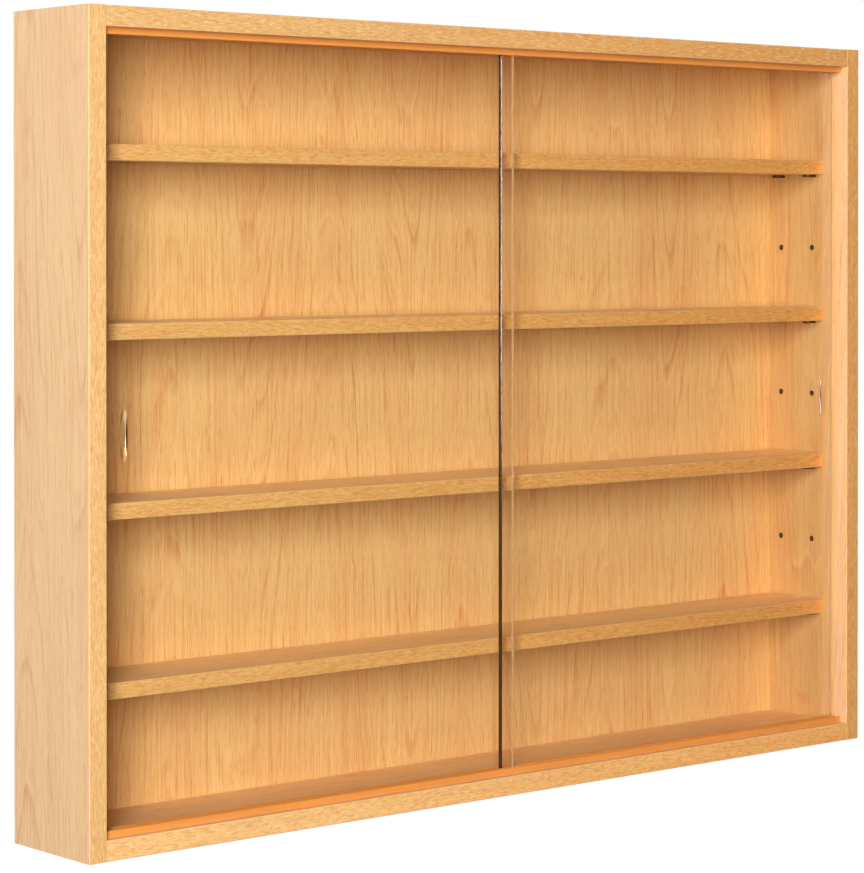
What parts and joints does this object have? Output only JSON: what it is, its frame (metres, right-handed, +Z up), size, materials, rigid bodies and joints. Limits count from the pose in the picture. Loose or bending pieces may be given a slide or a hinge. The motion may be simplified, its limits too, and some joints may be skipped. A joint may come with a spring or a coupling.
{
  "type": "wall display case",
  "caption": "Shallow beech-look wall case with sliding glass doors in twin tracks, loose shelves on pegs and keyhole hangers at the rear.",
  "frame": {"origin": "on the case's rear plane, halfway between the entry holes of the two keyhole hangers", "axes": "+X to the right along the case's width, +Y back into the wall, +Z up"},
  "size_m": [0.8, 0.097, 0.6],
  "materials": {
    "side_laminate": "matt beech-look laminate, upright grain",
    "cross_laminate": "matt beech-look laminate, lengthwise grain",
    "back_board": "printed beech-look hardboard, raw at the rear",
    "edge_band": "matt beech-look edge band",
    "shelf_laminate": "matt beech-look laminate, lengthwise grain",
    "track_plastic": "smooth beech-coloured plastic",
    "door_glass": "clear float glass with ground edges",
    "peg_plastic": "dark brown moulded plastic",
    "cam_zinc": "dull cast zinc",
    "bolt_steel": "zinc-plated steel",
    "dowel_wood": "plain beech",
    "hanger_steel": "zinc-plated steel"
  },
  "bodies": {
    "carcass": {"left_side_panel": "side_laminate", "right_side_panel": "side_laminate", "top_panel": "cross_laminate", "bottom_panel": "cross_laminate", "back_panel": "back_board", "left_edge_band": "edge_band", "right_edge_band": "edge_band", "top_edge_band": "edge_band", "bottom_edge_band": "edge_band", "top_track": "track_plastic", "bottom_track": "track_plastic", "shelf_pegs": "peg_plastic", "cam_locks": "cam_zinc", "cam_bolts": "bolt_steel", "wood_dowels": "dowel_wood", "left_hanger_plate": "hanger_steel", "right_hanger_plate": "hanger_steel", "hanger_screws": "bolt_steel", "back_panel_pins": "bolt_steel"},
    "left_door": {"left_glass_door": "door_glass"},
    "right_door": {"right_glass_door": "door_glass"},
    "shelf_board_1": {"shelf_1": "shelf_laminate", "shelf_1_edge_band": "edge_band"},
    "shelf_board_2": {"shelf_2": "shelf_laminate", "shelf_2_edge_band": "edge_band"},
    "shelf_board_3": {"shelf_3": "shelf_laminate", "shelf_3_edge_band": "edge_band"},
    "shelf_board_4": {"shelf_4": "shelf_laminate", "shelf_4_edge_band": "edge_band"}
  },
  "joints": [
    {"name": "left_door_slide", "type": "slide", "parent": "carcass", "child": "left_door", "axis": [1, 0, 0], "range_m": [-0.0025, 0.3795]},
    {"name": "right_door_slide", "type": "slide", "parent": "carcass", "child": "right_door", "axis": [-1, 0, 0], "range_m": [-0.0025, 0.3795]},
    {"name": "shelf_1_lift", "type": "slide", "parent": "carcass", "child": "shelf_board_1", "axis": [0, 0, 1], "range_m": [0, 0.08]},
    {"name": "shelf_2_lift", "type": "slide", "parent": "carcass", "child": "shelf_board_2", "axis": [0, 0, 1], "range_m": [0, 0.112]},
    {"name": "shelf_3_lift", "type": "slide", "parent": "carcass", "child": "shelf_board_3", "axis": [0, 0, 1], "range_m": [0, 0.112]},
    {"name": "shelf_4_lift", "type": "slide", "parent": "carcass", "child": "shelf_board_4", "axis": [0, 0, 1], "range_m": [0, 0.112]}
  ]
}
